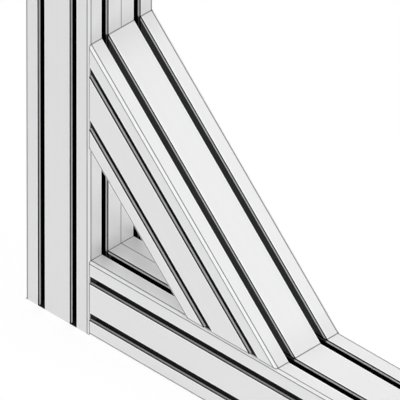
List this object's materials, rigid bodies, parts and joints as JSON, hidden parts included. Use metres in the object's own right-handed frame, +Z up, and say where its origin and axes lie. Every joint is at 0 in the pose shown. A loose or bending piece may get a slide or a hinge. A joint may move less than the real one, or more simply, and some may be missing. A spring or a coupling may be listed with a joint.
{
  "type": "t slot corner bracket",
  "caption": "Braced right-angle corner of square T-slot aluminium profile: upright, butted beam and a mitred 45 degree brace, with slots on every face.",
  "frame": {"origin": "on the floor, under the middle of the whole corner", "axes": "+Z up along the upright, +X along the beam away from the upright, +Y from the front to the back"},
  "size_m": [0.44, 0.08, 0.44],
  "materials": {
    "anodised_aluminium": "satin clear anodised",
    "zinc_plated_steel": "bright zinc plated",
    "black_steel": "black oxide"
  },
  "bodies": {
    "root": {"upright_profile": "anodised_aluminium", "beam_profile": "anodised_aluminium", "brace_profile": "anodised_aluminium", "beam_anchors": "zinc_plated_steel", "brace_anchors": "zinc_plated_steel", "lock_screws": "black_steel"}
  },
  "joints": []
}
